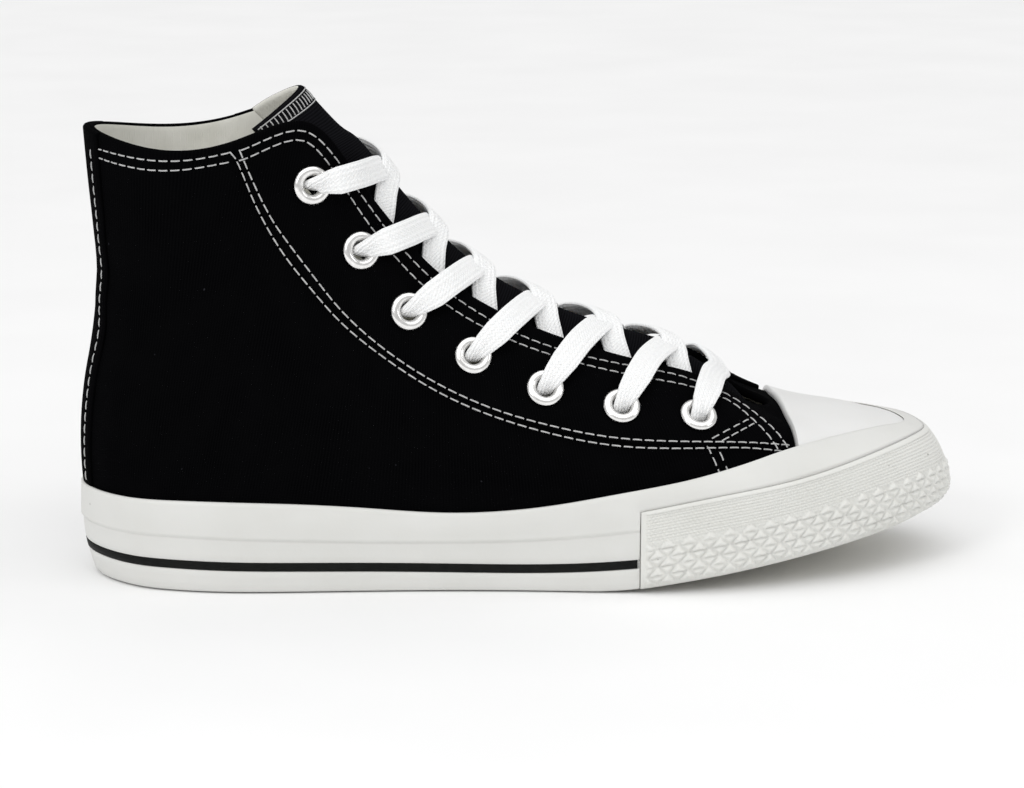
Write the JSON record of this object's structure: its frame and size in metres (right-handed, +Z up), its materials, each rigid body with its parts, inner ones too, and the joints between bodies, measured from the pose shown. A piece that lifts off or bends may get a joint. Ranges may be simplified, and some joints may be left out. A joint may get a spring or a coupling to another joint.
{
  "type": "high top sneaker",
  "caption": "Canvas high top sneaker for the right foot with rubber cup sole, smooth toe cap, textured bumper, rolled eyelets and flat crossed laces.",
  "frame": {"origin": "on the underside of the outsole, below the middle of the heel, 40 mm from the back of the shoe", "axes": "+X to the toe, +Z up, the outer side of the foot at -Y"},
  "size_m": [0.2657, 0.0932, 0.145],
  "materials": {
    "canvas": "matt woven",
    "rubber": "satin",
    "stripe": "satin",
    "lining": "matt woven",
    "lace": "matt woven",
    "eyelet": "satin plated"
  },
  "bodies": {
    "root": {"outsole": "rubber", "sole_wall": "rubber", "pinstripe": "stripe", "toe_bumper": "rubber", "toe_cap": "rubber", "upper": "canvas", "insole": "lining", "tongue": "canvas", "heel_stay": "canvas", "eyestay_outer": "canvas", "eyestay_inner": "canvas", "eyelet_outer_1": "eyelet", "eyelet_inner_1": "eyelet", "eyelet_outer_2": "eyelet", "eyelet_inner_2": "eyelet", "eyelet_outer_3": "eyelet", "eyelet_inner_3": "eyelet", "eyelet_outer_4": "eyelet", "eyelet_inner_4": "eyelet", "eyelet_outer_5": "eyelet", "eyelet_inner_5": "eyelet", "eyelet_outer_6": "eyelet", "eyelet_inner_6": "eyelet", "eyelet_outer_7": "eyelet", "eyelet_inner_7": "eyelet", "lace_crossing_1": "lace", "lace_crossing_2": "lace", "lace_crossing_3": "lace", "lace_crossing_4": "lace", "lace_crossing_5": "lace", "lace_crossing_6": "lace", "lace_bar": "lace"}
  },
  "joints": []
}
